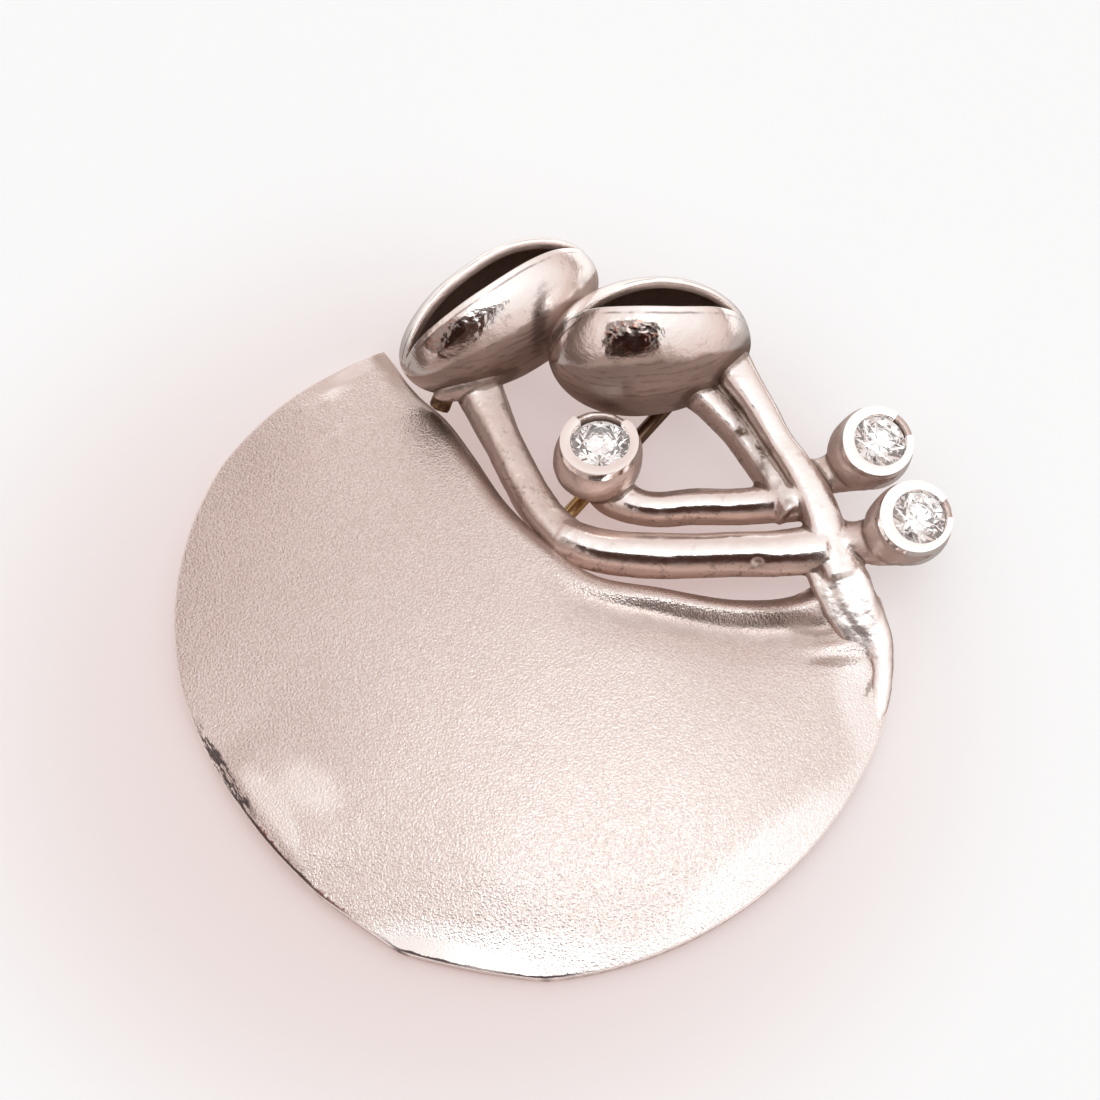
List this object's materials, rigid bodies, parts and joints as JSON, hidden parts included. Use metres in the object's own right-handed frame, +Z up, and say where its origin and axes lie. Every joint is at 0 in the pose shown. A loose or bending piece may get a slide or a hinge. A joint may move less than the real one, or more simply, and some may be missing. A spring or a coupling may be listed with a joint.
{
  "type": "flower brooch",
  "caption": "Flower brooch: a domed round leaf with a hollowed edge, cast branching stems, slit hollow pods, notched cups with set brilliants, and a hinged pin behind.",
  "frame": {"origin": "under the middle of the whole brooch, on the surface that it rests on, pin side down", "axes": "+Z up out of the leaf's face, +Y from the leaf towards the pods, +X towards the outer cups"},
  "size_m": [0.04, 0.0394, 0.0094],
  "materials": {
    "white_gold": "sandblasted leaf, polished rims and rough cast stems",
    "diamond": "faceted and polished",
    "yellow_gold": "polished"
  },
  "bodies": {
    "brooch": {"flower_frame": "white_gold", "inner_diamond": "diamond", "upper_diamond": "diamond", "lower_diamond": "diamond", "hinge_rivet": "yellow_gold"},
    "pin": {"pin_wire": "yellow_gold"}
  },
  "joints": [
    {"name": "pin_hinge", "type": "hinge", "parent": "brooch", "child": "pin", "pos_m": [0.00647, 0.01393, 0.00132], "axis": [0.6534, -0.5406, 0.5299], "range_deg": [0, 75]}
  ]
}
